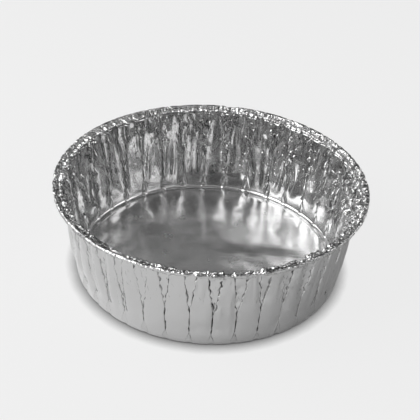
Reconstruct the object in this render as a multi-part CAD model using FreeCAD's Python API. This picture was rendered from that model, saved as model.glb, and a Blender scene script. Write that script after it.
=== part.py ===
"""Foil pie tin: one disc of thin aluminium foil, pressed in a die to a deep round tin.

The excess foil of the wall gathers in pleats. Each pleat is one narrow crease from just above the
foot to about half height, where it forks into two crooked creases that run up to the rim. The top
turns out into a flange, climbs a little and ends in a hollow rolled bead. The whole tin is a single
sheet, so the model is a single solid: the outside of the sheet is worked out station by station,
its inside lies one foil thickness away, and the flat facets between the fold lines are sewn together.

Frame: +Z up, origin at the centre of the tin on the plane that it stands on. Units: millimetres.
"""
import FreeCAD, Part
import math
import os
import random

Vector = FreeCAD.Vector

# Overall sizes
rim_diameter = 184.0
base_diameter = 157.5
height = 58.0
foil_thickness = 0.1

# Base: a flat foot ring round a panel that is pressed up a little, and the corner to the wall
foot_width = 2.4
panel_rise = 0.6
panel_step_width = 0.7
corner_radius = 1.5

# Flange, from the wall out: neck, inner ridge, shallow gutter and the rolled bead at the edge
flange_width = 6.1
neck_height = 1.3
neck_reach = 0.5
neck_shoulder_drop = 0.3
ridge_reach = 1.3
ridge_drop = 1.9
gutter_reach = 2.5
gutter_drop = 2.3
bead_diameter = 2.3
bead_foot_drop = 1.7
bead_fold_angles = (100.0, 0.0, -90.0, -160.0)

# Pleats: their number, angles in degrees of the first one, of the drift in their spacing and of the
# place where they are furthest apart, and the creases of each one
pleat_count = 37
first_pleat_angle = 3.6
pleat_drift = 5.1
widest_spacing_angle = 60.0
crease_start_height = 7.0
fork_height = 27.5
kink_height = 41.0
crease_half_width = 0.8
crease_depth_low = 0.7
crease_depth_high = 1.4
arm_gap_kink = 3.4
arm_gap_rim = 6.0
panel_bulge = 0.35

# Unevenness of the thin foil, at most this far either way
crease_start_scatter = 1.5
fork_scatter = 4.0
kink_scatter = 2.5
crease_scatter = 0.45
wall_crumple = 0.15
flange_crumple = 0.25
scatter_seed = 11

rim_radius = rim_diameter / 2
base_radius = base_diameter / 2
bead_radius = bead_diameter / 2 - foil_thickness
bead_centre_radius = rim_radius - bead_diameter / 2
bead_centre_height = height - bead_diameter / 2
wall_top_radius = rim_radius - flange_width
wall_top_height = height - ridge_drop - neck_height
scatter = random.Random(scatter_seed)


def uneven(most):
    """A seeded length between minus most and most."""
    return scatter.uniform(-most, most)


def polar(radius, angle, z):
    """The point at this radius, angle and height."""
    return Vector(radius * math.cos(angle), radius * math.sin(angle), z)


def wall_lean():
    """The wall's angle from upright: it is tangent to the bottom corner and ends at the wall's top."""
    run = wall_top_radius - base_radius
    rise = wall_top_height - corner_radius
    return math.atan2(run, rise) - math.asin(corner_radius / math.hypot(run, rise))


def wall_radius(z):
    """Outside radius of the straight wall at height z."""
    return wall_top_radius - (wall_top_height - z) * math.tan(wall_lean())


def corner_point(turn):
    """Point of the bottom corner's arc, turned by this angle from the foot."""
    radius = base_radius + corner_radius * math.sin(turn)
    return radius, corner_radius * (1 - math.cos(turn))


def bead_point(degrees):
    """Point of the bead's section: 90 degrees is its top, and 0 the outermost line of the rim."""
    turn = math.radians(degrees)
    radius = bead_centre_radius + bead_radius * math.cos(turn)
    return radius, bead_centre_height + bead_radius * math.sin(turn)


class Row:
    """One ring of stations: its profile point, and what the pleats and crumples do to it there.

    lip is a crease's half width, gap the distance between a pleat's two creases, depth how far they
    go in, bulge how far the panels between pleats stand out, sway how far the row's creases may lie
    above or below it, and crumple how far its stations may lie in or out.
    """

    def __init__(self, point, lip=0.0, gap=0.0, depth=0.0, bulge=0.0, sway=0.0, crumple=0.0):
        self.radius, self.z = point
        self.lip = lip
        self.gap = gap
        self.depth = depth
        self.bulge = bulge
        self.sway = sway
        self.crumple = crumple

    def stations(self, pleat, next_pleat):
        """The five stations of one pleat: lip, crease, crease, lip, and the middle of the next panel.

        The creases are one point where the pleat isn't forked, and so are the lips where it has no
        crease. A point that is met twice is the same object.
        """
        z = self.z + uneven(self.sway)
        lean = (z - self.z) * math.tan(wall_lean())
        points = []
        for side in (-1, 1):
            shift = side * self.gap / 2
            if self.gap:
                shift += uneven(crease_scatter)
            lip_radius = self.radius + lean + uneven(self.crumple)
            crease_radius = self.radius + lean - self.depth + uneven(self.crumple)
            lip = polar(lip_radius, pleat + (shift + side * self.lip) / self.radius, z)
            crease = polar(crease_radius, pleat + shift / self.radius, z)
            points += [lip, crease] if side < 0 else [crease, lip]
        if not self.gap:
            points[2] = points[1]
        if not self.lip:
            points[0] = points[3] = points[1]
        panel_radius = self.radius + self.bulge + uneven(self.crumple)
        points.append(polar(panel_radius, (pleat + next_pleat) / 2, self.z))
        return points


def wall_row(z, **shape):
    """A row on the straight wall at height z."""
    return Row((wall_radius(z), z), lip=crease_half_width, bulge=panel_bulge, **shape)


def flange_row(radius, z):
    """A row of the gathered flange, where the folds are pressed flat and only crumples are left."""
    return Row((radius, z), lip=crease_half_width, gap=arm_gap_rim, crumple=flange_crumple)


def profile_rows():
    """The rows from the base panel's edge, under the foot, up the wall and round the bead's curl."""
    turn = math.pi / 2 - wall_lean()
    ridge_height = height - ridge_drop
    base = [
        Row((base_radius - foot_width - panel_step_width, panel_rise)),
        Row((base_radius - foot_width, 0.0)),
        Row((base_radius, 0.0)),
        Row(corner_point(turn / 2)),
        Row(corner_point(turn)),
    ]
    wall = [
        wall_row(crease_start_height, depth=crease_depth_low, sway=crease_start_scatter),
        wall_row(fork_height, depth=crease_depth_high, sway=fork_scatter),
        wall_row(kink_height, depth=crease_depth_high, gap=arm_gap_kink, sway=kink_scatter,
                 crumple=wall_crumple),
        wall_row(wall_top_height, depth=crease_depth_high, gap=arm_gap_rim, crumple=wall_crumple),
    ]
    flange = [
        flange_row(wall_top_radius + neck_reach, ridge_height - neck_shoulder_drop),
        flange_row(wall_top_radius + ridge_reach, ridge_height),
        flange_row(wall_top_radius + gutter_reach, height - gutter_drop),
        flange_row(bead_centre_radius - bead_radius, height - bead_foot_drop),
    ]
    bead = [flange_row(*bead_point(degrees)) for degrees in bead_fold_angles]
    return base + wall + flange + bead


def pleat_angle(number):
    """Angle of a pleat: even steps, which a slow drift opens on one side and closes on the other."""
    even = math.radians(first_pleat_angle) + 2 * math.pi * number / pleat_count
    return even + math.radians(pleat_drift) * math.sin(even - math.radians(widest_spacing_angle))


def make_rings():
    """Every row's stations, all the way round, and the list of different points they refer to."""
    rings = []
    points = []
    for row in profile_rows():
        ring = []
        for number in range(pleat_count):
            for point in row.stations(pleat_angle(number), pleat_angle(number + 1)):
                if not ring or point is not points[ring[-1]]:
                    points.append(point)
                ring.append(len(points) - 1)
        rings.append(ring)
    return rings, points


def band(lower, upper):
    """Triangles between two rings, facing away from the foil. Those without area are left out."""
    triangles = []
    for i in range(len(lower)):
        j = (i + 1) % len(lower)
        for corners in ((lower[i], lower[j], upper[j]), (lower[i], upper[j], upper[i])):
            if len(set(corners)) == 3:
                triangles.append(corners)
    return triangles


def inside_points(triangles, points):
    """Each point moved one foil thickness to the inside, square to the facets that meet there."""
    facing = [Vector() for _ in points]
    normals = []
    for a, b, c in triangles:
        normal = (points[b] - points[a]).cross(points[c] - points[a]).normalize()
        normals.append(normal)
        for corner in (a, b, c):
            facing[corner] += normal
    counts = [0] * len(points)
    lift = [0.0] * len(points)
    for corners, normal in zip(triangles, normals):
        for corner in corners:
            counts[corner] += 1
            lift[corner] += normal.dot(facing[corner]) / facing[corner].Length
    moved = []
    for point, normal, count, total in zip(points, facing, counts, lift):
        unit = Vector(normal).normalize()
        moved.append(point - unit * foil_thickness * count / total)
    return moved


def facet(corners):
    """Flat face through these points."""
    return Part.Face(Part.makePolygon(corners + corners[:1]))


def without_repeats(ring):
    """The ring's different stations, in order."""
    return list(dict.fromkeys(ring))


def make_foil_tin():
    """The sheet: its outside, its inside, and the thin cut edge at the end of the bead's curl."""
    rings, outside = make_rings()
    bands = [band(lower, upper) for lower, upper in zip(rings, rings[1:])]
    triangles = [corners for strip in bands for corners in strip]
    inside = inside_points(triangles, outside)
    panel, foot_inner, foot_outer = [without_repeats(ring) for ring in rings[:3]]
    for index in panel:
        inside[index].z = panel_rise + foil_thickness

    faces = []
    foot_band = set(bands[1])
    for corners in triangles:
        if corners not in foot_band:
            faces.append(facet([outside[i] for i in corners]))
        faces.append(facet([inside[i] for i in reversed(corners)]))

    # The foot's underside is one flat ring, and the panel has one face below and one above
    foot_ring = facet([outside[i] for i in foot_outer]).cut(facet([outside[i] for i in foot_inner]))
    faces += foot_ring.Faces
    faces.append(facet([outside[i] for i in panel]))
    faces.append(facet([inside[i] for i in panel]))

    edge = without_repeats(rings[-1])
    for i, j in zip(edge, edge[1:] + edge[:1]):
        faces.append(facet([outside[i], outside[j], inside[j]]))
        faces.append(facet([outside[i], inside[j], inside[i]]))

    shell = Part.makeShell(faces)
    shell.sewShape()
    solid = Part.makeSolid(shell)
    if solid.Volume < 0:
        solid.reverse()
    return solid


os.makedirs("parts", exist_ok=True)
foil_tin = make_foil_tin()
foil_tin.exportStep("parts/foil_tin.step")
print("foil tin: %d faces, %.0f cubic mm of foil, box %s" % (
    len(foil_tin.Faces), foil_tin.Volume, foil_tin.BoundBox))
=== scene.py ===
# %% [markdown]
# A deep foil tin is one disc of soft aluminium foil, pushed through a die. The disc is too wide for
# the wall that it has to become, so the wall gathers in pleats, and above half height in crumples.
# The solid could be dressed with bump alone, but metal shows every facet in its reflections. So this
# lesson builds the sheet as numpy grids whose columns run along the folds, gives it a rolled foil
# finish, and lights it as the photograph does. The solid is loaded first, because it gives the size
# that everything below has to keep.

# %% Load the frame
import math
from types import SimpleNamespace
import bpy
import numpy as np
from mathutils import Matrix, Vector


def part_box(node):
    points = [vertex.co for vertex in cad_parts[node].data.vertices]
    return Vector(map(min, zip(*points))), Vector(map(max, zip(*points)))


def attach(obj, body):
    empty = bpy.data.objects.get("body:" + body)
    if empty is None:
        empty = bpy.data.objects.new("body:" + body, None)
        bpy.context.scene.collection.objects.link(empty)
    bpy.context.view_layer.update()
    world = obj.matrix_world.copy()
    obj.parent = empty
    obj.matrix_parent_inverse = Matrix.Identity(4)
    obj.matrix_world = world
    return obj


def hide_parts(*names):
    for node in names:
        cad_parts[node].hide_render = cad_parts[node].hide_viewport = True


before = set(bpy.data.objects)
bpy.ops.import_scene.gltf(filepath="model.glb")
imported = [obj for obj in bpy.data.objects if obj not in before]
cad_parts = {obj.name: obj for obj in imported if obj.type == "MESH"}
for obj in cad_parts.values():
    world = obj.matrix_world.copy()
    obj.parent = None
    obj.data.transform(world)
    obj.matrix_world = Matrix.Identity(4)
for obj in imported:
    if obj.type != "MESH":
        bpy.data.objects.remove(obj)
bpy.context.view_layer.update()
low, high = (np.array(corner) * 1000 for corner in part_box("foil_tin"))
print("solid tin in mm:", low.round(2), high.round(2))

# %% [markdown]
# Sizes are in millimetres, and only the finished meshes are turned to metres. The die gives the
# section: a panel pressed up a little, the flat foot ring round it, a tight corner, the straight
# leaning wall, and the flange with its inner ridge, its gutter and the rolled bead. Crumples may not
# push the foil past WIDEST and HIGHEST, which keep it inside the solid's box.

# %% Sizes of the section
MM = 0.001
RIM_RADIUS = 92.0
HEIGHT = 58.0
FOIL = 0.1
FOOT_RADIUS = 77.9
FOOT_WIDTH = 1.9
PANEL_RISE = 0.6
STEP_WIDTH = 0.7
CORNER_RADIUS = 2.6
WALL_TOP_RADIUS = 85.9
WALL_TOP_HEIGHT = 54.8
FLANGE_FOLDS = [(86.35, 55.8), (87.2, 56.15), (88.4, 55.7), (89.75, 56.2)]
BEAD_RADIUS = 0.85
BEAD_CENTRE = (90.85, 56.85)
WIDEST = 91.9
HIGHEST = 57.95

wall_run = WALL_TOP_RADIUS - FOOT_RADIUS
wall_climb = WALL_TOP_HEIGHT - CORNER_RADIUS
LEAN = math.atan2(wall_run, wall_climb) - math.asin(CORNER_RADIUS / math.hypot(wall_run, wall_climb))
print("the wall leans out by %.1f degrees" % math.degrees(LEAN))

# %% [markdown]
# The section is one line in the plane of radius and height. Spinning it would give a plain bowl, but
# the pleats need a name for each place on the sheet. So its arcs are drawn as arcs and its straight
# stretches as lines, and it is measured along its length. Any place is then named by an angle round
# the tin and a distance along this line.

# %% The section as a line
def arc(centre, radius, start, end, count=12):
    """Points of a circle's arc: centre plus radius times the cosine and sine of an even angle."""
    turn = np.radians(np.linspace(start, end, count))
    return np.stack([centre[0] + radius * np.cos(turn), centre[1] + radius * np.sin(turn)], axis=1)


corner = arc((FOOT_RADIUS, CORNER_RADIUS), CORNER_RADIUS, -90.0, -math.degrees(LEAN))
step_top = (FOOT_RADIUS - FOOT_WIDTH - STEP_WIDTH, PANEL_RISE)
section = np.concatenate([
    [(0.0, PANEL_RISE), step_top, (FOOT_RADIUS - FOOT_WIDTH, 0.0)],
    corner,
    [(WALL_TOP_RADIUS, WALL_TOP_HEIGHT)],
    FLANGE_FOLDS,
    arc(BEAD_CENTRE, BEAD_RADIUS, 150.0, -170.0, 26),
])
along = np.concatenate([[0.0], np.cumsum(np.hypot(*np.diff(section, axis=0).T))])

STEP = float(along[1])
FOOT_START = float(along[2])
CORNER_START = float(along[3])
WALL_START = float(along[2 + len(corner)])
WALL_END = float(along[3 + len(corner)])
RIM_END = float(along[-1])
print("sheet from centre to curl: %.1f mm" % RIM_END)


# %% Reading the section
def section_point(distance):
    """Radius and height at a distance along the section, each read off the drawn line."""
    return np.interp(distance, along, section[:, 0]), np.interp(distance, along, section[:, 1])


def section_normal(distance, reach=0.15):
    """Unit normal to the outside: the chord between two near points, turned by a right angle."""
    r0, z0 = section_point(distance - reach)
    r1, z1 = section_point(distance + reach)
    length = np.hypot(r1 - r0, z1 - z0)
    return (z1 - z0) / length, -(r1 - r0) / length


print("half way up the wall the outside faces", section_normal((WALL_START + WALL_END) / 2))

# %% [markdown]
# Crumpled foil is made of small facets between sharp folds. Sculpting each by hand is slow, and
# plain noise is too round. A lattice of random heights, read with straight-line interpolation,
# has such facets. Bending the lattice with a second, coarser one keeps the folds from lining up, and
# counting its cells round the tin makes it close on itself.

# %% Random lattices
def ramp(value, start, end):
    """0 before start, 1 after end, and a straight climb between."""
    return np.clip((value - start) / (end - start), 0.0, 1.0)


def blend(heights, row, left, right, s, t):
    """Value inside a lattice cell: its four corners, weighted by s across and t upward."""
    lower = heights[row, left] * (1 - s) + heights[row, right] * s
    upper = heights[row + 1, left] * (1 - s) + heights[row + 1, right] * s
    return lower * (1 - t) + upper * t


def facets(angle, distance, cells_round, cell_length, seed, smooth=False):
    """Random heights from -1 to 1 on a lattice in angle and distance, interpolated between them.

    The weight between two lattice lines is the fraction t itself, for flat facets, or 3 t squared
    minus 2 t cubed, for soft waves.
    """
    rows = int(RIM_END / cell_length) + 3
    heights = np.random.default_rng(seed).uniform(-1.0, 1.0, (rows, cells_round))
    across = angle / (2 * np.pi) * cells_round
    upward = np.clip(distance / cell_length, 0, rows - 2)
    column = np.floor(across).astype(int)
    row = np.minimum(np.floor(upward).astype(int), rows - 2)
    s, t = across - column, upward - row
    if smooth:
        s, t = s * s * (3 - 2 * s), t * t * (3 - 2 * t)
    return blend(heights, row, column % cells_round, (column + 1) % cells_round, s, t)


sample = facets(np.linspace(0, 6, 50), np.full(50, 90.0), 60, 16.0, 21)
print("facets of one ring reach from %.2f to %.2f" % (sample.min(), sample.max()))


# %% Crumples and folds
def pushed_aside(angle, distance, cells_round, cell_length, seed, bend):
    """The angle moved by a coarser soft lattice, and how far a second one moves the distance.

    Both lattices are 2.3 times as coarse along the section and 3 times round the tin. They move a
    place by at most bend cells.
    """
    push = facets(angle, distance, cells_round // 3, cell_length * 2.3, seed + 50, smooth=True)
    lift = facets(angle, distance, cells_round // 3, cell_length * 2.3, seed + 51, smooth=True)
    return angle + push * bend * 2 * np.pi / cells_round, lift * bend * cell_length


def crumpled(angle, distance, cells_round, cell_length, seed, bend=0.8):
    """Flat facets, read at the places that the coarser lattices have pushed aside."""
    moved, shift = pushed_aside(angle, distance, cells_round, cell_length, seed, bend)
    return facets(moved, distance + shift, cells_round, cell_length, seed)


def sharp_folds(angle, distance, cells_round, cell_length, seed, bend=0.5):
    """Round swells that meet in sharp valleys: 2 |soft lattice| - 1, pushed half as far upward."""
    moved, shift = pushed_aside(angle, distance, cells_round, cell_length, seed, bend)
    soft = facets(moved, distance + shift * 0.5, cells_round, cell_length, seed, smooth=True)
    return 2 * np.abs(soft) - 1


def cloth_waves(x, y, cell, seed):
    """Soft random heights from -1 to 1 on a square lattice, for the flat base.

    The weight between two lattice lines is 6 t^5 - 15 t^4 + 10 t^3, which is smooth enough for the
    reflection not to show the lattice.
    """
    middle = int(RIM_RADIUS / cell) + 2
    across, upward = x / cell + middle, y / cell + middle
    heights = np.random.default_rng(seed).uniform(-1.0, 1.0, (2 * middle + 1, 2 * middle + 1))
    column, row = np.floor(across).astype(int), np.floor(upward).astype(int)
    s, t = across - column, upward - row
    s, t = s ** 3 * (6 * s * s - 15 * s + 10), t ** 3 * (6 * t * t - 15 * t + 10)
    return blend(heights, row, column, column + 1, s, t)


print("wave of the base at its centre: %.2f" % cloth_waves(np.zeros(1), np.zeros(1), 17.0, 51)[0])

# %% [markdown]
# Each pleat starts above the foot as one sharp crease. At about half height it forks, and its two
# arms climb to the rim, a little crooked. Below the start, two faint folds spread to the base. One
# pleat could be copied round the tin, but foil never folds twice alike. So a pleat is two fold lines
# whose distance changes with height, and every number that differs from pleat to pleat is drawn once
# from a seeded generator.

# %% The pleats
PLEATS = 37
PITCH = 2 * math.pi / PLEATS
FIRST_PLEAT = math.radians(3.6)
SPACING_DRIFT = math.radians(5.1)
WIDEST_SPACING = math.radians(60.0)
KNOT_SPACING = 2.4
TRUNK, LEFT_ARM, RIGHT_ARM, DEPTH = range(4)

draw = np.random.default_rng(7)
numbers = np.arange(PLEATS)
even = FIRST_PLEAT + PITCH * numbers
pleat_angles = even + SPACING_DRIFT * np.sin(even - WIDEST_SPACING)
pleat_angles += np.radians(draw.uniform(-0.6, 0.6, PLEATS))
start_heights = draw.uniform(8.0, 12.0, PLEATS)
fork_heights = draw.uniform(20.0, 29.0, PLEATS)
rim_gaps = draw.uniform(5.2, 8.6, PLEATS)
fold_sides = draw.choice([-1.0, 1.0], PLEATS)
depth_shares = draw.uniform(0.8, 1.25, PLEATS)
knots = draw.uniform(-1.0, 1.0, (4, PLEATS, int(HEIGHT / KNOT_SPACING) + 3))
print("%d pleats, forked between %.0f and %.0f mm" % (PLEATS, fork_heights.min(), fork_heights.max()))

# %% Fold lines of a pleat
HAIR_GAP = 0.12
FOOT_GAP = 3.6
TRUNK_SWAY = 0.22
ARM_SWAY = 0.55


def crookedness(kind, pleat, height):
    """Wander of a fold from -1 to 1: random knots up its length, joined by straight lines."""
    upward = np.clip(height / KNOT_SPACING, 0, knots.shape[2] - 2)
    knot = np.floor(upward).astype(int)
    t = upward - knot
    return knots[kind, pleat, knot] * (1 - t) + knots[kind, pleat, knot + 1] * t


def fold_lines(pleat, height):
    """Sideways places of a pleat's two folds, in mm from its centre line.

    The gap between them closes from the base to the start, stays at a hair's breadth up to the fork,
    and from there opens to the rim as the power 0.85 of the height. Both wander, more above the fork.
    """
    start, fork = start_heights[pleat], fork_heights[pleat]
    foot_gap = FOOT_GAP * ramp(start - height, 0.0, 6.0)
    arm_gap = rim_gaps[pleat] * ramp(height, fork, WALL_TOP_HEIGHT) ** 0.85
    gap = HAIR_GAP + foot_gap + arm_gap
    trunk = TRUNK_SWAY * crookedness(TRUNK, pleat, height)
    sway = ARM_SWAY * ramp(height, fork, fork + 4.0)
    left = trunk - gap / 2 + sway * crookedness(LEFT_ARM, pleat, height)
    right = trunk + gap / 2 + sway * crookedness(RIGHT_ARM, pleat, height)
    return left, np.maximum(right, left + HAIR_GAP)


top_left, top_right = fold_lines(numbers, np.full(PLEATS, WALL_TOP_HEIGHT))
print("at the rim a pleat's arms are %.1f mm apart on average" % (top_right - top_left).mean())

# %% [markdown]
# A plain grid would cut across the folds and leave saw teeth. Here the columns belong to the pleats:
# some lie on the panel to the left, one on the left fold, some on the tongue between the folds, one
# on the right fold, and the rest on the right panel. They crowd together near the folds, where the
# foil turns sharply, and every fold is a line of edges.

# %% Columns that follow the folds
PANEL_COLUMNS = 12
TONGUE_COLUMNS = 8
PLEAT_COLUMNS = 2 * PANEL_COLUMNS + TONGUE_COLUMNS
CROWDING = 1.9


def column_places(column, pleat, height, radius):
    """Sideways place of each column in mm from the pleat's centre, with the two folds' places.

    On a panel the distance from the fold grows as the power 1.9 of the column's share. On the tongue
    the share minus a sine of it crowds the columns towards both folds.
    """
    left, right = (side * ramp(radius, 0.0, FOOT_RADIUS) for side in fold_lines(pleat, height))
    before = (pleat_angles[pleat] - np.roll(pleat_angles, 1)[pleat]) % (2 * np.pi)
    after = (np.roll(pleat_angles, -1)[pleat] - pleat_angles[pleat]) % (2 * np.pi)
    share_left = np.clip((PANEL_COLUMNS - column) / PANEL_COLUMNS, 0, 1) ** CROWDING
    share_right = np.clip((column - PANEL_COLUMNS - TONGUE_COLUMNS) / PANEL_COLUMNS, 0, 1) ** CROWDING
    t = np.clip((column - PANEL_COLUMNS) / TONGUE_COLUMNS, 0, 1)
    t = t - 0.8 * np.sin(2 * np.pi * t) / (2 * np.pi)
    x = left + (right - left) * t
    x = x - share_left * (left + radius * before / 2)
    x = x + share_right * (radius * after / 2 - right)
    return x, left, right


print("%d columns to a pleat, %d round the tin" % (PLEAT_COLUMNS, PLEAT_COLUMNS * PLEATS))

# %% [markdown]
# The creases are where the surplus foil has gone: sharp grooves, a lip that tucks over each groove,
# and a tongue set back between the two. Displacing a mesh with a texture would smear them over the
# grid. Written as functions of the distance to the nearest fold, they stay as sharp as the columns
# allow. Each part below gives its height in mm above the plain section, and they are added at last.

# %% What the parts of the shape ask about a place
def read_places(column, pleat, distance):
    """Each place's section point, its place beside the folds, and how far it is into each zone."""
    radius, height = section_point(distance)
    x, left, right = column_places(column, pleat, height, radius)
    return SimpleNamespace(
        pleat=pleat, distance=distance, radius=radius, height=height,
        x=x, left=left, right=right,
        angle=pleat_angles[pleat] + x / radius,
        nearest=np.minimum(np.abs(x - left), np.abs(x - right)),
        outside=(x < left) | (x > right),
        start=start_heights[pleat], fork=fork_heights[pleat],
        on_wall=ramp(distance, WALL_START, WALL_START + 3.0),
        in_flange=ramp(distance, WALL_END, WALL_END + 2.0),
        in_bead=ramp(distance, WALL_END + 4.0, WALL_END + 5.5),
    )


def hump(value, centre, width):
    """A round hump of height 1: e to the power of minus the square of (value - centre) / width."""
    return np.exp(-((value - centre) / width) ** 2)


half_way = np.full(PLEATS, (WALL_START + WALL_END) / 2)
on_folds = read_places(np.full(PLEATS, PANEL_COLUMNS), numbers, half_way)
print("half way up the wall the section's radius is %.1f mm" % on_folds.radius[0])


# %% Creases
CREASE_DEPTH = 1.3
DEEPER_ABOVE = 0.4
START_DENT = 0.8
FORK_DENT = 0.6
CREASE_WIDTH = 0.17
RIM_CREASE_WIDTH = 0.3
SHOULDER_SHARE = 0.2
SHOULDER_WIDTH = 0.8
LIP_HEIGHT = 0.26
TONGUE_DEPTH = 0.45
TOE_DEPTH = 0.55
FOLD_STEP = 0.32


def grooves(at):
    """Minus depth times e^(-n / width), n mm from the nearest fold, with a softer shoulder added.

    The depth sets in at the pleat's start, grows a little up the wall, has a dent at the start and
    one at the fork, and changes at random up each fold. Flange and bead press the folds flatter.
    """
    depth = 0.06 * at.on_wall + CREASE_DEPTH * ramp(at.height, at.start, at.start + 1.5)
    depth = depth + DEEPER_ABOVE * ramp(at.height, 25.0, 50.0)
    depth = depth + START_DENT * hump(at.height - at.start, 1.2, 0.9)
    depth = depth + FORK_DENT * hump(at.height, at.fork, 1.4)
    depth = depth * depth_shares[at.pleat] * (1 - 0.65 * at.in_flange) * (1 - 0.5 * at.in_bead)
    depth = depth * np.clip(0.75 + 1.1 * crookedness(DEPTH, at.pleat, at.height), 0.15, 1.5)
    width = CREASE_WIDTH + RIM_CREASE_WIDTH * at.in_flange
    shoulder = SHOULDER_SHARE * np.exp(-at.nearest / SHOULDER_WIDTH) * (1 - at.in_flange)
    return -depth * (np.exp(-at.nearest / width) + shoulder)


def lips_and_tongues(at):
    """A lip half a mm beside each fold, the tongue and toe set back, and one side raised.

    The tongue lies between the arms above the fork, and the toe between the faint folds below the
    start. Both fall from the folds in a straight slope to their depth.
    """
    lip = LIP_HEIGHT * at.on_wall * hump(at.nearest, 0.5, 0.3) * at.outside * (1 - at.in_flange)
    forked = ramp(at.height, at.fork, at.fork + 8.0) * (1 - at.in_flange)
    tongue = -TONGUE_DEPTH * forked * (~at.outside) * np.minimum(1.0, at.nearest / 0.6)
    below = ramp(at.start + 1.0 - at.height, 0.0, 2.5)
    below = below * ramp(at.distance, CORNER_START, WALL_START + 2.0)
    toe = -TOE_DEPTH * below * (~at.outside) * np.minimum(1.0, at.nearest / 0.7)
    raised = fold_sides[at.pleat] * np.where(at.x > (at.left + at.right) / 2, 1.0, -1.0)
    raised = FOLD_STEP * raised * np.exp(-at.nearest / 2.2) * at.on_wall * (1 - at.in_flange)
    return lip, tongue, toe, raised


print("half way up, the folds are %.1f mm deep on average" % -grooves(on_folds).mean())

# %% [markdown]
# Between the creases the wall is smooth at the foot and busier towards the rim, as the photograph
# shows: panels that belly out, soft waves and long flutes, and small folds that grow between 14 and
# 40 mm of height. The flange is crumpled all over, since it was rolled up with all the surplus foil
# in it. The base has only slow waves, as rolled foil has on a flat die. A cloth simulation would find
# its own folds, not these, so each kind is a lattice of its own size in mm.

# %% Panels, crumples and base
BELLY = 0.95
PINCH = 0.25
WAVE = 0.38
FLUTE = 0.8
WALL_FOLD = 0.33
WALL_FACET = 0.04
RIM_FOLD = 0.85
RIM_FACET = 0.24
BASE_LIFT = 0.15
BASE_WAVE = 0.6
BASE_RIPPLE = 0.13


def panels(at):
    """Panels bellied as 1 minus a square of the share of the panel, pinched at the pleat's foot."""
    panel_share = 1 - np.abs(np.clip(at.x / (at.radius * PITCH / 2), -1, 1))
    belly = BELLY * (1 - panel_share ** 2) * ramp(at.distance, WALL_START, WALL_START + 16.0)
    belly = belly * (1 - 0.6 * at.in_flange) * (1 - at.in_bead)
    pinch = -PINCH * np.exp(-np.abs(at.x) / 1.4) * ramp(at.distance, FOOT_START + 1.0, WALL_START)
    pinch = pinch * ramp(WALL_START + 6.0 - at.distance, 0.0, 6.0)
    return belly, pinch


def crumples(at):
    """Waves and flutes that grow from the foot up, small folds of the upper wall, and the rim's."""
    lattice = at.angle, at.distance
    gathered = ramp(at.height, 14.0, 40.0) * at.on_wall * (1 - at.in_flange)
    rising = ramp(at.distance, WALL_START, WALL_START + 10.0) ** 1.5
    waves = WAVE * facets(*lattice, 60, 16.0, 21, smooth=True) * rising
    flutes = FLUTE * sharp_folds(*lattice, 90, 26.0, 22) * rising * (1 - 0.6 * gathered)
    wall_folds = WALL_FOLD * sharp_folds(*lattice, 150, 12.0, 31)
    wall_folds = gathered * (wall_folds + WALL_FACET * sharp_folds(*lattice, 400, 5.0, 32))
    edge = ramp(at.distance, WALL_END + 5.4, WALL_END + 6.8)
    rim_folds = RIM_FOLD * sharp_folds(*lattice, 240, 7.0, 41)
    rim_folds = rim_folds + RIM_FACET * crumpled(*lattice, 560, 2.0, 42)
    return waves, flutes, wall_folds, at.in_flange * (1 - 0.45 * edge) * rim_folds


def base_waves(at):
    """Slow waves of 17 mm and ripples of 7 mm, faded out over the last 3 mm before the step."""
    amount = 1 - ramp(at.distance, STEP - 3.0, STEP)
    east, north = at.radius * np.cos(at.angle), at.radius * np.sin(at.angle)
    waves = BASE_WAVE * cloth_waves(east, north, 17.0, 51)
    return amount * (BASE_LIFT + waves + BASE_RIPPLE * cloth_waves(east, north, 7.0, 52))


between_folds = read_places(np.zeros(PLEATS), numbers, half_way)
print("half way up, the panels belly by %.2f mm on average" % panels(between_folds)[0].mean())

# %% The whole sheet
TUCK = 0.18


def sheet(column, pleat, distance):
    """Points of the foil's outside: the section's point, moved along its normal and sideways.

    The move along the normal is the sum of all the parts. Sideways the lips are tucked towards their
    folds. What would pass the widest or highest line is mirrored back, and nothing goes below 0.
    """
    at = read_places(column, pleat, distance)
    lift = sum((*lips_and_tongues(at), *panels(at), *crumples(at)), grooves(at)) - base_waves(at)
    out_r, out_z = section_normal(distance)
    tuck = TUCK * np.exp(-at.nearest / 0.5) * at.outside * np.sign(at.left - at.x)
    angle = at.angle + tuck * at.on_wall * (1 - at.in_flange) / at.radius
    radius = WIDEST - np.abs(WIDEST - (at.radius + lift * out_r))
    height = np.maximum(HIGHEST - np.abs(HIGHEST - (at.height + lift * out_z)), 0.0)
    return np.stack([radius * np.cos(angle), radius * np.sin(angle), height], axis=-1)


ring = sheet(np.zeros(PLEATS), numbers, half_way)
print("half way up the wall the panels lie at a radius of %.1f mm" % np.hypot(*ring.T[:2]).mean())

# %% [markdown]
# The sheet would be one mesh of over 700,000 triangles. Split in base, two wall halves and rim, each piece
# stays under 200,000. The halves meet along folds, where the foil turns sharply anyway. The rim is
# twice as fine as the wall: where they meet, its extra points are put half way between the wall's,
# so the edges agree. The foil's thickness comes from a Solidify modifier, to the inside.

# %% From grids to meshes
def link_rings(lower, upper):
    """Triangles between rings of equally many places; a place that two columns share drops out."""
    after_lower, after_upper = np.roll(lower, -1), np.roll(upper, -1)
    pairs = np.concatenate([
        np.stack([lower, after_lower, after_upper], axis=1),
        np.stack([lower, after_upper, upper], axis=1),
    ])
    a, b, c = pairs.T
    return pairs[(a != b) & (b != c) & (a != c)]


def ring_columns(per_pleat):
    """Column number and pleat number of every place in a ring with so many columns a pleat."""
    column = np.tile(np.arange(per_pleat) * PLEAT_COLUMNS / per_pleat, PLEATS)
    return column, np.repeat(numbers, per_pleat)


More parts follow.
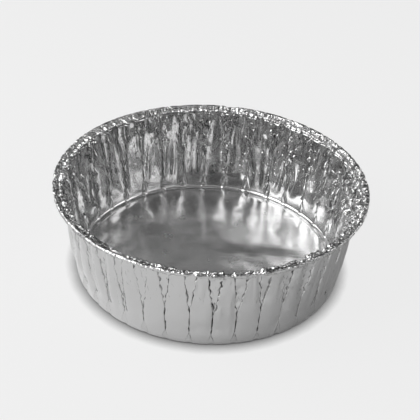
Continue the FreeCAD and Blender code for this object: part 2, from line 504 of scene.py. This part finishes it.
def grid_points(column, pleat, distances):
    """Points of the sheet, ring after ring, and the numbers of the points in each ring."""
    points = np.concatenate([sheet(column, pleat, np.full(column.shape, d)) for d in distances])
    return points, np.arange(len(points)).reshape(len(distances), len(column))


def make_piece(name, points, triangles):
    """A smooth mesh object from points in mm, given the foil's thickness by a Solidify modifier."""
    mesh = bpy.data.meshes.new(name)
    mesh.vertices.add(len(points))
    mesh.vertices.foreach_set("co", (points * MM).ravel())
    mesh.loops.add(triangles.size)
    mesh.loops.foreach_set("vertex_index", triangles.ravel().astype(np.int32))
    mesh.polygons.add(len(triangles))
    mesh.polygons.foreach_set("loop_start", np.arange(0, triangles.size, 3, dtype=np.int32))
    mesh.update(calc_edges=True)
    mesh.polygons.foreach_set("use_smooth", np.ones(len(triangles), dtype=bool))
    piece = bpy.data.objects.new(name, mesh)
    bpy.context.scene.collection.objects.link(piece)
    thickness = piece.modifiers.new("foil_thickness", "SOLIDIFY")
    thickness.thickness = FOIL * MM
    thickness.offset = -1.0
    print("%s: %d points, %d triangles on one side" % (name, len(points), len(triangles)))
    return piece


# %% [markdown]
# The base is a panel pressed up in the die, and it stands on the flat ring round it. A filled circle
# would be flat, so it is a disc of rings with slow waves, closed by one point at its centre. It needs
# fewer columns than the wall, and it ends on the ring that the wall starts from.

# %% Base panel
BASE_COLUMNS = 14
base_rings = np.concatenate([
    np.linspace(1.0, STEP - 3.0, 68),
    [STEP - 1.6, STEP - 0.8, STEP - 0.3, STEP, STEP + 0.3, FOOT_START - 0.2, FOOT_START],
])
points, rings = grid_points(*ring_columns(BASE_COLUMNS), base_rings)
hub = np.full(len(rings[0]), len(points))
points = np.concatenate([points, [[0.0, 0.0, points[rings[0], 2].mean()]]])
bands = [link_rings(a, b) for a, b in zip(rings, rings[1:])]
tin_base = make_piece("tin_base", points, np.concatenate([*bands, link_rings(hub, rings[0])]))

# %% [markdown]
# The wall is the drawn part of the sheet, from under the foot round the corner and up to the flange.
# One mesh for it would be over 200,000 triangles, and a cut through a panel might show. So it is cut
# in two along the left folds of two pleats, with rings closer together where the crumples are.

# %% Foot ring, corner and pleated wall
wall_rings = np.concatenate([
    [FOOT_START, FOOT_START + 0.8, CORNER_START - 0.4],
    np.linspace(CORNER_START, WALL_START, 6),
    np.linspace(WALL_START + 0.8, WALL_START + 20.0, 20),
    np.linspace(WALL_START + 20.7, WALL_END, 50),
])


def wall_sector(name, first, last):
    """The wall from the left fold of one pleat to the left fold of a later one, two triangles a cell."""
    column, pleat = ring_columns(PLEAT_COLUMNS)
    start, end = first * PLEAT_COLUMNS + PANEL_COLUMNS, last * PLEAT_COLUMNS + PANEL_COLUMNS
    chosen = np.arange(start, end + 1) % len(column)
    points, rings = grid_points(column[chosen], pleat[chosen], wall_rings)
    a, b = rings[:-1, :-1].ravel(), rings[:-1, 1:].ravel()
    c, d = rings[1:, 1:].ravel(), rings[1:, :-1].ravel()
    triangles = np.concatenate([np.stack([a, b, c], axis=1), np.stack([a, c, d], axis=1)])
    return make_piece(name, points, triangles)


HALF = PLEATS // 2
tin_wall_back = wall_sector("tin_wall_back", 0, HALF)
tin_wall_front = wall_sector("tin_wall_front", HALF, PLEATS)

# %% [markdown]
# The rim is the edge of the disc, turned out flat and rolled under to a hollow bead that hides the
# cut edge. A torus would be too clean: the roll is made of the same gathered foil, so it is the same
# sheet, read to the end of the curl with twice as many columns.

# %% Flange and rolled bead
rim_rings = np.concatenate([
    np.linspace(WALL_END, WALL_END + 4.2, 9),
    np.linspace(WALL_END + 4.6, RIM_END, 11),
])
points, rings = grid_points(*ring_columns(2 * PLEAT_COLUMNS), rim_rings)
seam = points[rings[0]]
seam[1::2] = (seam[0::2] + np.roll(seam[0::2], -1, axis=0)) / 2
points[rings[0]] = seam
bands = [link_rings(a, b) for a, b in zip(rings, rings[1:])]
tin_rim = make_piece("tin_rim", points, np.concatenate(bands))

# %% [markdown]
# A material is a small network of nodes. Building it in code needs two helpers: one that turns a hex
# colour, as a paint program shows it, to the linear numbers that Blender wants, and one that adds a
# node with its settings and links. A pattern's scale is the number of its cells in a metre: 1000 over
# the size of one cell in mm.

# %% Helpers for materials
def linear(hex_colour):
    """A hex colour in sRGB as linear red, green, blue and alpha."""
    parts = [int(hex_colour[i:i + 2], 16) / 255 for i in (1, 3, 5)]
    return [p / 12.92 if p <= 0.04045 else ((p + 0.055) / 1.055) ** 2.4 for p in parts] + [1.0]


def add_node(tree, kind, links=(), **settings):
    """Add a node. Settings are its properties or, by number or name in inputs, its socket values."""
    node = tree.nodes.new(kind)
    for key, value in settings.pop("inputs", {}).items():
        node.inputs[key].default_value = value
    for key, value in settings.items():
        setattr(node, key, value)
    for socket, source in links:
        tree.links.new(source, node.inputs[socket])
    return node


print("the foil's colour in linear light: %.3f" % linear("#D0D0D0")[0])

# %% [markdown]
# The foil is rolled aluminium: pure metal, so its colour is its reflection. The mill leaves the base
# satin, with faint straight rolling lines. Drawing the wall through the die polishes it, and leaves
# short upright dents where the foil was gathered. The rim is crackled all over. An image texture
# could show all this, but it would need a scan, so noise of the right size does it.

# %% Rolled aluminium foil
CLOUD_SCALE = 90.0  # soft clouds about 11 mm wide
DENT_SCALE = 640.0  # dents about 1.6 mm wide
DENT_STRETCH = (1.0, 1.0, 0.38)  # and 1 / 0.38 times as long upright
CRACKLE_SCALE = 560.0  # cells about 1.8 mm wide
LINE_SCALES = (70.0, 420.0, 70.0)  # streaks about 14 mm long and 2.4 mm apart
BUMP_HEIGHT = 0.6
print("dents %.1f mm and crackle %.1f mm wide" % (1000 / DENT_SCALE, 1000 / CRACKLE_SCALE))


def foil_roughness(tree, place, level):
    """Roughness 0.06 to 0.15 in soft clouds, and 0.13 more on the base, which no die has polished."""
    cloud = add_node(tree, "ShaderNodeTexNoise", [("Vector", place)],
                     inputs={"Scale": CLOUD_SCALE, "Detail": 3.0})
    mill = add_node(tree, "ShaderNodeMapRange", [("Value", level)],
                    inputs={"From Min": 1 * MM, "From Max": 12 * MM, "To Min": 0.13, "To Max": 0.0})
    drawn = add_node(tree, "ShaderNodeMapRange", [("Value", cloud.outputs["Fac"])],
                     inputs={"From Min": 0.3, "From Max": 0.7, "To Min": 0.06, "To Max": 0.15})
    return add_node(tree, "ShaderNodeMath", [(0, mill.outputs["Result"]), (1, drawn.outputs["Result"])],
                    operation="ADD").outputs[0]


def upright_dents(tree, place, level):
    """Peaks of a stretched noise, only where the wall is gathered, and five times fainter outside.

    The outside is where the dot product of the normal and the place is above 0.
    """
    upright = add_node(tree, "ShaderNodeMapping", [("Vector", place)],
                       inputs={"Scale": DENT_STRETCH})
    pitted = add_node(tree, "ShaderNodeTexNoise", [("Vector", upright.outputs["Vector"])],
                      inputs={"Scale": DENT_SCALE, "Detail": 0.0, "Distortion": 0.3})
    dents = add_node(tree, "ShaderNodeMapRange", [("Value", pitted.outputs["Fac"])],
                     inputs={"From Min": 0.64, "From Max": 0.72})
    gathered = add_node(tree, "ShaderNodeMapRange", [("Value", level)],
                        inputs={"From Min": 12 * MM, "From Max": 36 * MM})
    dents = add_node(tree, "ShaderNodeMath", [
        (0, dents.outputs["Result"]), (1, gathered.outputs["Result"])], operation="MULTIPLY")
    shape = add_node(tree, "ShaderNodeNewGeometry")
    outward = add_node(tree, "ShaderNodeVectorMath", [(0, shape.outputs["Normal"]), (1, place)],
                       operation="DOT_PRODUCT")
    inside = add_node(tree, "ShaderNodeMapRange", [("Value", outward.outputs["Value"])],
                      inputs={"From Min": -10 * MM, "From Max": 10 * MM, "To Min": 1.0, "To Max": 0.2})
    return add_node(tree, "ShaderNodeMath", [(0, dents.outputs[0]), (1, inside.outputs["Result"])],
                    operation="MULTIPLY").outputs[0]


def add_crackle(tree, place, level, height):
    """The height plus the Manhattan distance to the nearest of many random points, at the rim only.

    Measured along the axes, that distance gives angular cells with sharp edges.
    """
    crackle = add_node(tree, "ShaderNodeTexVoronoi", [("Vector", place)],
                       distance="MANHATTAN", inputs={"Scale": CRACKLE_SCALE})
    rim = add_node(tree, "ShaderNodeMapRange", [("Value", level)],
                   inputs={"From Min": 54.8 * MM, "From Max": 56.2 * MM, "To Max": 0.5})
    return add_node(tree, "ShaderNodeMath", [
        (0, crackle.outputs["Distance"]), (1, rim.outputs["Result"]), (2, height)],
        operation="MULTIPLY_ADD").outputs[0]


def add_rolling_lines(tree, place, level, height):
    """The height plus long streaks across the base. Real ones are finer than the render can show."""
    rolled = add_node(tree, "ShaderNodeMapping", [("Vector", place)], inputs={"Scale": LINE_SCALES})
    lines = add_node(tree, "ShaderNodeTexNoise", [("Vector", rolled.outputs["Vector"])],
                     inputs={"Scale": 1.0, "Detail": 2.0, "Distortion": 0.2})
    flat = add_node(tree, "ShaderNodeMapRange", [("Value", level)],
                    inputs={"From Min": 1 * MM, "From Max": 3 * MM, "To Min": 0.14, "To Max": 0.0})
    return add_node(tree, "ShaderNodeMath", [
        (0, lines.outputs["Fac"]), (1, flat.outputs["Result"]), (2, height)],
        operation="MULTIPLY_ADD").outputs[0]


# %% The foil's material on all its pieces
def foil_material():
    """Bright foil: full metal, which mirrors lamps and room sharply enough for each fold to show."""
    material = bpy.data.materials.new("rolled_aluminium_foil")
    material.use_nodes = True
    tree = material.node_tree
    tree.nodes.clear()
    place = add_node(tree, "ShaderNodeTexCoord").outputs["Object"]
    level = add_node(tree, "ShaderNodeSeparateXYZ", [("Vector", place)]).outputs["Z"]
    height = upright_dents(tree, place, level)
    height = add_crackle(tree, place, level, height)
    height = add_rolling_lines(tree, place, level, height)
    bump = add_node(tree, "ShaderNodeBump", [("Height", height)],
                    inputs={"Strength": 1.0, "Distance": BUMP_HEIGHT * MM})
    roughness = foil_roughness(tree, place, level)
    shader = add_node(tree, "ShaderNodeBsdfPrincipled",
                      [("Roughness", roughness), ("Normal", bump.outputs["Normal"])],
                      inputs={"Base Color": linear("#D0D0D0"), "Metallic": 1.0})
    add_node(tree, "ShaderNodeOutputMaterial", [("Surface", shader.outputs["BSDF"])])
    return material


foil = foil_material()
for piece in (tin_base, tin_wall_back, tin_wall_front, tin_rim):
    piece.data.materials.append(foil)
    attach(piece, "root")
    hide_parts("foil_tin")
print("the foil's material has %d nodes" % len(foil.node_tree.nodes))

# %% [markdown]
# The tin stands on a plain pale board. A matt floor alone would render darker than the photograph's
# ground, and more light would bleach the foil. So to the eye the board mostly shows its own colour,
# dimmed close to the foot by ambient occlusion, and the small rest of it takes the lamps' shadow. In
# the metal it is the other way round: there nearly all of it is matt board in the lamps' light.

# %% Floor
FLOOR_HALF = 6.0
SEEN_SHARE = 0.93
MIRRORED_SHARE = 0.05
# CONTACT_REACH and CONTACT_POWER shape the painted contact shadow on the floor's glow.
CONTACT_REACH = 7.5
CONTACT_POWER = 1.3


def light_path(tree):
    """Whether a ray comes from the camera, and the share that a ray from a mirror or glass gets."""
    path = add_node(tree, "ShaderNodeLightPath").outputs
    mirrored = add_node(tree, "ShaderNodeMath", [
        (0, path["Is Glossy Ray"]), (1, path["Is Transmission Ray"])], operation="MAXIMUM")
    mirrored = add_node(tree, "ShaderNodeMath", [(0, mirrored.outputs[0])], inputs={1: MIRRORED_SHARE},
                        operation="MULTIPLY")
    return path["Is Camera Ray"], mirrored.outputs[0]


def floor_material():
    """Matt pale board, mixed with its own colour by 0.93 for the eye and 0.05 for the metal.

    That colour is a glow with a painted contact shadow, which ambient occlusion sets close to the foot.
    """
    material = bpy.data.materials.new("matt_pale_board")
    material.use_nodes = True
    tree = material.node_tree
    tree.nodes.clear()
    seen, mirrored = light_path(tree)
    share = add_node(tree, "ShaderNodeMath", [(0, seen), (2, mirrored)],
                     inputs={1: SEEN_SHARE}, operation="MULTIPLY_ADD")
    # Painted contact shadow: ambient occlusion to the power 1.3 dims the glow close to the foot.
    contact = add_node(tree, "ShaderNodeAmbientOcclusion", samples=8,
                       inputs={"Distance": CONTACT_REACH * MM})
    painted_contact_shadow = add_node(tree, "ShaderNodeMath", [(0, contact.outputs["AO"])], inputs={1: CONTACT_POWER},
                    operation="POWER")
    matt = add_node(tree, "ShaderNodeBsdfDiffuse", inputs={"Color": linear("#EEEEEE")})
    glow = add_node(tree, "ShaderNodeEmission", [("Strength", painted_contact_shadow.outputs[0])],
                    inputs={"Color": linear("#F0F0F0")})
    mixed = add_node(tree, "ShaderNodeMixShader", [
        ("Fac", share.outputs[0]), (1, matt.outputs[0]), (2, glow.outputs[0])])
    add_node(tree, "ShaderNodeOutputMaterial", [("Surface", mixed.outputs[0])])
    return material


floor_mesh = bpy.data.meshes.new("floor")
floor_corners = [(x * FLOOR_HALF, y * FLOOR_HALF, 0) for x, y in ((-1, -1), (1, -1), (1, 1), (-1, 1))]
floor_mesh.from_pydata(floor_corners, [], [(0, 1, 2, 3)])
floor = bpy.data.objects.new("floor", floor_mesh)
floor_mesh.materials.append(floor_material())
bpy.context.scene.collection.objects.link(floor)
print("floor: %.0f m square" % (2 * FLOOR_HALF))

# %% [markdown]
# Metal looks like the room round it, so the room is half of the finish. An even sky would leave the
# wall flat and grey. The photograph's foil mirrors darkness near the horizon and a pale ceiling that
# is brightest to the front and left. The world is that room: almost black low down, a climb to the
# ceiling's level, and a fall to less right above. The eye itself sees only the pale ground's colour.

# %% Room
TOWARDS_BRIGHT_SIDE = (-0.5, -0.86, 0.0)
CEILING_DIM = 0.3
CEILING_BRIGHT = 0.8
ROOM_DARK = 0.005
OVERHEAD_SHARE = 0.3

world = bpy.data.worlds.new("dim_room")
world.use_nodes = True
tree = world.node_tree
direction = add_node(tree, "ShaderNodeTexCoord").outputs["Generated"]
climb = add_node(tree, "ShaderNodeSeparateXYZ", [("Vector", direction)]).outputs["Z"]
side = add_node(tree, "ShaderNodeVectorMath", [(0, direction)], inputs={1: TOWARDS_BRIGHT_SIDE},
                operation="DOT_PRODUCT")
ceiling = add_node(tree, "ShaderNodeMapRange", [("Value", side.outputs["Value"])],
                   inputs={"From Min": -0.8, "From Max": 0.8,
                           "To Min": CEILING_DIM, "To Max": CEILING_BRIGHT})
rise = add_node(tree, "ShaderNodeMapRange", [("Value", climb), ("To Max", ceiling.outputs["Result"])],
                inputs={"From Min": 0.43, "From Max": 0.57, "To Min": ROOM_DARK})
fade = add_node(tree, "ShaderNodeMapRange", [("Value", climb)],
                inputs={"From Min": 0.57, "From Max": 0.73, "To Min": 1.0, "To Max": OVERHEAD_SHARE})
room = add_node(tree, "ShaderNodeMath", [(0, rise.outputs["Result"]), (1, fade.outputs["Result"])],
                operation="MULTIPLY")
seen, mirrored = light_path(tree)
pale = add_node(tree, "ShaderNodeMath", [(0, seen), (1, mirrored)], operation="MAXIMUM")
pale = add_node(tree, "ShaderNodeMath", [(0, pale.outputs[0])], inputs={1: linear("#EEEEEE")[0]},
                operation="MULTIPLY")
strength = add_node(tree, "ShaderNodeMath", [(0, room.outputs[0]), (1, pale.outputs[0])],
                    operation="MAXIMUM")
tree.links.new(strength.outputs[0], tree.nodes["Background"].inputs["Strength"])
tree.nodes["Background"].inputs["Color"].default_value = (1.0, 1.0, 1.0, 1.0)
bpy.context.scene.world = world
print("room: %d nodes" % len(tree.nodes))

# %% [markdown]
# Three round soft lamps make the bright zones that the foil mirrors: a large one close at the left,
# one further off at the right, and a small one high behind. Sun lamps or bare points would make hard
# sparks instead. A lamp's power follows from how bright its face has to look, so that a change of
# its size leaves its brightness alone.

# %% Lamps
def soft_lamp(name, azimuth, elevation, distance, width, radiance):
    """Round lamp at these angles in degrees and this distance in metres, turned to the tin.

    Its power is the radiance times pi times the area of its face, which is a disc of this width.
    """
    lamp = bpy.data.lights.new(name, "AREA")
    lamp.shape = "DISK"
    lamp.size = width
    lamp.energy = radiance * math.pi * math.pi * (width / 2) ** 2
    holder = bpy.data.objects.new(name, lamp)
    turn, tilt = math.radians(azimuth), math.radians(elevation)
    to_lamp = Vector((math.cos(turn) * math.cos(tilt), math.sin(turn) * math.cos(tilt), math.sin(tilt)))
    holder.location = to_lamp * distance
    holder.rotation_euler = (-to_lamp).to_track_quat("-Z", "Y").to_euler()
    bpy.context.scene.collection.objects.link(holder)
    print("%s: %.1f W" % (name, lamp.energy))


soft_lamp("left_softbox", 189.0, 32.0, 0.75, 1.0, 3.0)
soft_lamp("right_softbox", 8.0, 32.0, 1.1, 0.75, 1.75)
soft_lamp("top_softbox", 80.0, 72.0, 1.0, 0.42, 1.2)

# %% [markdown]
# The camera's height, distance, lens and slight roll were fitted to the rim and base ellipses of the
# photograph, which is 420 pixels square. A camera could be moved by eye, but how far the two ellipses
# are off can be measured. The shift upward moves the camera itself, so no lens shift is needed.

# %% Camera
CAMERA_DISTANCE = 0.5468
CAMERA_ELEVATION = math.radians(34.272)
CAMERA_ROLL = math.radians(3.104)
CAMERA_SHIFT_UP = 0.02894
FOCAL_PIXELS = 880.0
IMAGE_PIXELS = 420.0
SENSOR = 36.0

camera_data = bpy.data.cameras.new("camera")
camera_data.sensor_width = SENSOR
camera_data.sensor_fit = "HORIZONTAL"
camera_data.lens = FOCAL_PIXELS * SENSOR / IMAGE_PIXELS
camera_data.clip_start = 0.01
camera = bpy.data.objects.new("camera", camera_data)
bpy.context.scene.collection.objects.link(camera)
back = Vector((0.0, -math.cos(CAMERA_ELEVATION), math.sin(CAMERA_ELEVATION)))
right = Vector((1.0, 0.0, 0.0))
up = back.cross(right)
place = back * CAMERA_DISTANCE + up * CAMERA_SHIFT_UP
turned_right = right * math.cos(CAMERA_ROLL) + up * math.sin(CAMERA_ROLL)
turned_up = up * math.cos(CAMERA_ROLL) - right * math.sin(CAMERA_ROLL)
turned = Matrix((turned_right, turned_up, back)).transposed().to_4x4()
camera.matrix_world = Matrix.Translation(place) @ turned
bpy.context.scene.camera = camera
print("lens of %.1f mm" % camera_data.lens)

# %% Hand over
bpy.context.scene.view_settings.view_transform = "Standard"
bpy.context.view_layer.update()
